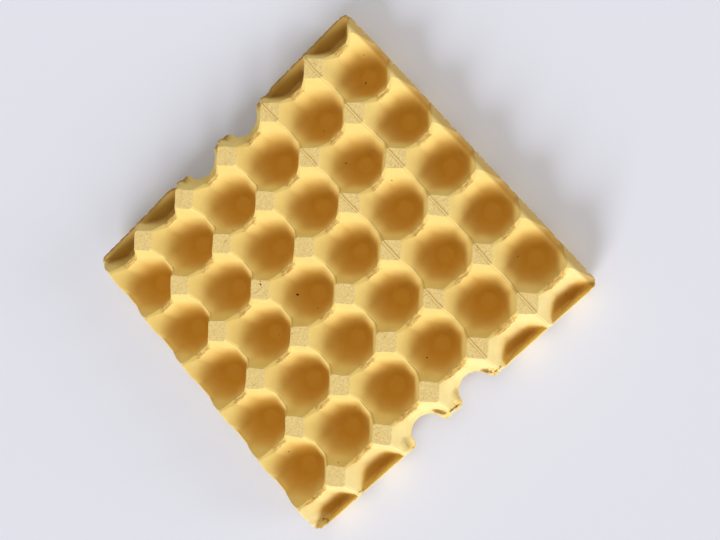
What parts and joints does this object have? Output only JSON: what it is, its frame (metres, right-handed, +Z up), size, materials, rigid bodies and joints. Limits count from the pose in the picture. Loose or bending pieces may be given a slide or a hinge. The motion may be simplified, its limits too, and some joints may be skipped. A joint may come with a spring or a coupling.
{
  "type": "pulp egg tray",
  "caption": "Square moulded paper-pulp tray with a grid of egg cups, square-topped posts between them and finger notches at two ends.",
  "frame": {"origin": "middle of the underside, on the table", "axes": "+Z up, out of the cups; X along the rows that end in half wells and finger notches, Y across them"},
  "size_m": [0.296, 0.296, 0.043],
  "materials": {
    "pulp": "yellow-dyed moulded paper pulp, matt and slightly fibrous"
  },
  "bodies": {
    "root": {"egg_tray": "pulp"}
  },
  "joints": []
}
